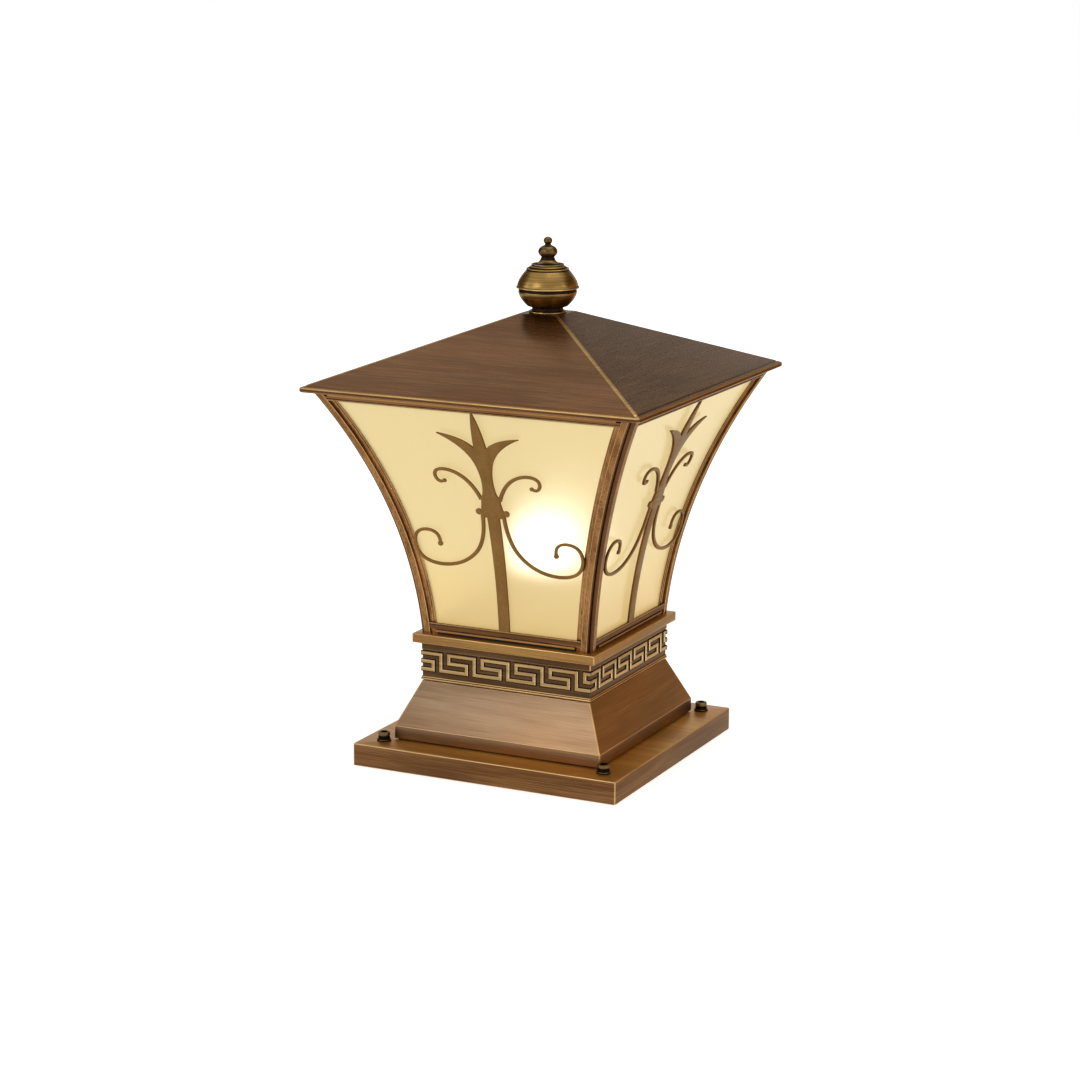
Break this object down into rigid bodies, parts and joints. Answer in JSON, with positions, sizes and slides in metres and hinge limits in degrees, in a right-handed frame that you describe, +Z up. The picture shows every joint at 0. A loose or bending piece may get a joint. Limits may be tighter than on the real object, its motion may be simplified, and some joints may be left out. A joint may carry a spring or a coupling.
{
  "type": "pillar light",
  "caption": "Square outdoor pillar light: flared glass lantern with scroll ornaments on a tapered pedestal, pyramid roof with a turned finial, lift-off roof and screw-in bulb.",
  "frame": {"origin": "centre of the base's underside, on the pillar's top", "axes": "+Z up through the finial, front glass faces -Y, +X to the right seen from the front"},
  "size_m": [0.3006, 0.3006, 0.4362],
  "materials": {
    "antique_brass": "brushed antique brass, sealed",
    "dark_brass": "dark patina",
    "light_brass": "raised lines wiped light",
    "roof_brass": "brushed dark bronze",
    "ornament_brass": "brushed antique brass",
    "polished_brass": "polished",
    "contact_brass": "plain",
    "blackened_screw": "blackened",
    "zinc_steel": "zinc plated",
    "black_rubber": "matte",
    "cream_glass": "opal, satin",
    "opal_globe": "opal",
    "white_ceramic": "glazed",
    "white_plastic": "matte",
    "cap_metal": "plain",
    "black_plastic": "matte",
    "lead_sleeve": "silicone sleeve"
  },
  "bodies": {
    "lantern": {"base_tray": "antique_brass", "anchor_plate": "zinc_steel", "anchor_standoffs": "zinc_steel", "base_screws": "blackened_screw", "base_washers": "blackened_screw", "pedestal_gasket": "black_rubber", "pedestal": "antique_brass", "pedestal_screws": "zinc_steel", "neck": "dark_brass", "neck_moulding": "light_brass", "meander": "light_brass", "neck_band": "light_brass", "ledge": "antique_brass", "lantern_gasket": "black_rubber", "bottom_frame": "antique_brass", "lantern_screws": "zinc_steel", "corner_post_front_right": "antique_brass", "corner_post_back_right": "antique_brass", "corner_post_back_left": "antique_brass", "corner_post_front_left": "antique_brass", "glass_front": "cream_glass", "glass_right": "cream_glass", "glass_back": "cream_glass", "glass_left": "cream_glass", "ornament_front": "ornament_brass", "ornament_right": "ornament_brass", "ornament_back": "ornament_brass", "ornament_left": "ornament_brass", "glazing_beads": "dark_brass", "top_frame": "antique_brass", "crossbar": "zinc_steel", "crossbar_screws": "zinc_steel", "tie_rod": "zinc_steel", "rod_nuts": "zinc_steel", "lamp_bracket": "zinc_steel", "bracket_screws": "zinc_steel", "lampholder_body": "white_ceramic", "lampholder_shell": "contact_brass", "centre_contact": "contact_brass", "terminal_block": "white_plastic", "lamp_leads": "lead_sleeve", "cable_gland": "black_plastic", "gland_locknut": "black_plastic", "earth_stud": "contact_brass"},
    "roof": {"roof_shell": "roof_brass", "roof_gasket": "black_rubber", "roof_locator": "zinc_steel", "apex_plate": "zinc_steel"},
    "finial_washer": {"finial_washer": "black_rubber"},
    "finial": {"finial_foot": "polished_brass", "finial_bowl": "polished_brass", "finial_dome": "polished_brass", "finial_knob": "polished_brass", "finial_nut": "contact_brass", "finial_stud": "zinc_steel"},
    "bulb": {"bulb_contact": "cap_metal", "bulb_cap": "cap_metal", "bulb_housing": "white_plastic", "bulb_globe": "opal_globe"}
  },
  "joints": [
    {"name": "roof_lift", "type": "slide", "parent": "lantern", "child": "roof", "axis": [0, 0, 1], "range_m": [0, 0.08]},
    {"name": "finial_rise", "type": "slide", "parent": "roof", "child": "finial_washer", "axis": [0, 0, 1], "range_m": [0, 0.0101]},
    {"name": "finial_turn", "type": "hinge", "parent": "finial_washer", "child": "finial", "pos_m": [0, 0, 0.38], "axis": [0, 0, 1], "range_deg": [0, 2880]},
    {"name": "bulb_out", "type": "slide", "parent": "lantern", "child": "bulb", "axis": [0, 0, 1], "range_m": [0, 0.03]}
  ],
  "couplings": [
    {"joint": "finial_rise", "follows": "finial_turn", "m_per_rad": 0.00019894}
  ]
}
